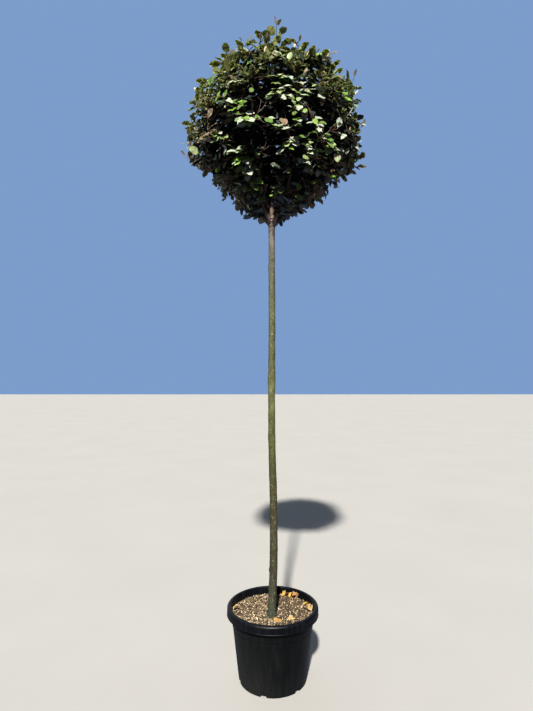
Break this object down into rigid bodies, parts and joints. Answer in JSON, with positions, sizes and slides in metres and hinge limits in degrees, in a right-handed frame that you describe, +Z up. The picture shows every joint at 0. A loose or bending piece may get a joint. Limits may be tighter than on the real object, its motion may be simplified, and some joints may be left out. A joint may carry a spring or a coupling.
{
  "type": "potted standard elaeagnus",
  "caption": "Evergreen standard: a clear upright stem in a round nursery pot, topped by a dense ball of small leathery leaves.",
  "frame": {"origin": "centre of the pot's flat underside", "axes": "+Z up along the stem, +X to the right and +Y away from the viewer of the front"},
  "size_m": [0.9245, 0.9064, 3.3329],
  "materials": {
    "pot": "satin",
    "potting_mix": "matte",
    "bark": "matte",
    "foliage": "satin"
  },
  "bodies": {
    "root": {"pot": "pot", "potting_mix": "potting_mix", "trunk": "bark", "bough_leader": "bark", "bough_1": "bark", "bough_2": "bark", "bough_3": "bark", "bough_4": "bark", "bough_5": "bark", "bough_6": "bark", "foliage_leader": "foliage", "foliage_1": "foliage", "foliage_2": "foliage", "foliage_3": "foliage", "foliage_4": "foliage", "foliage_5": "foliage", "foliage_6": "foliage"}
  },
  "joints": []
}
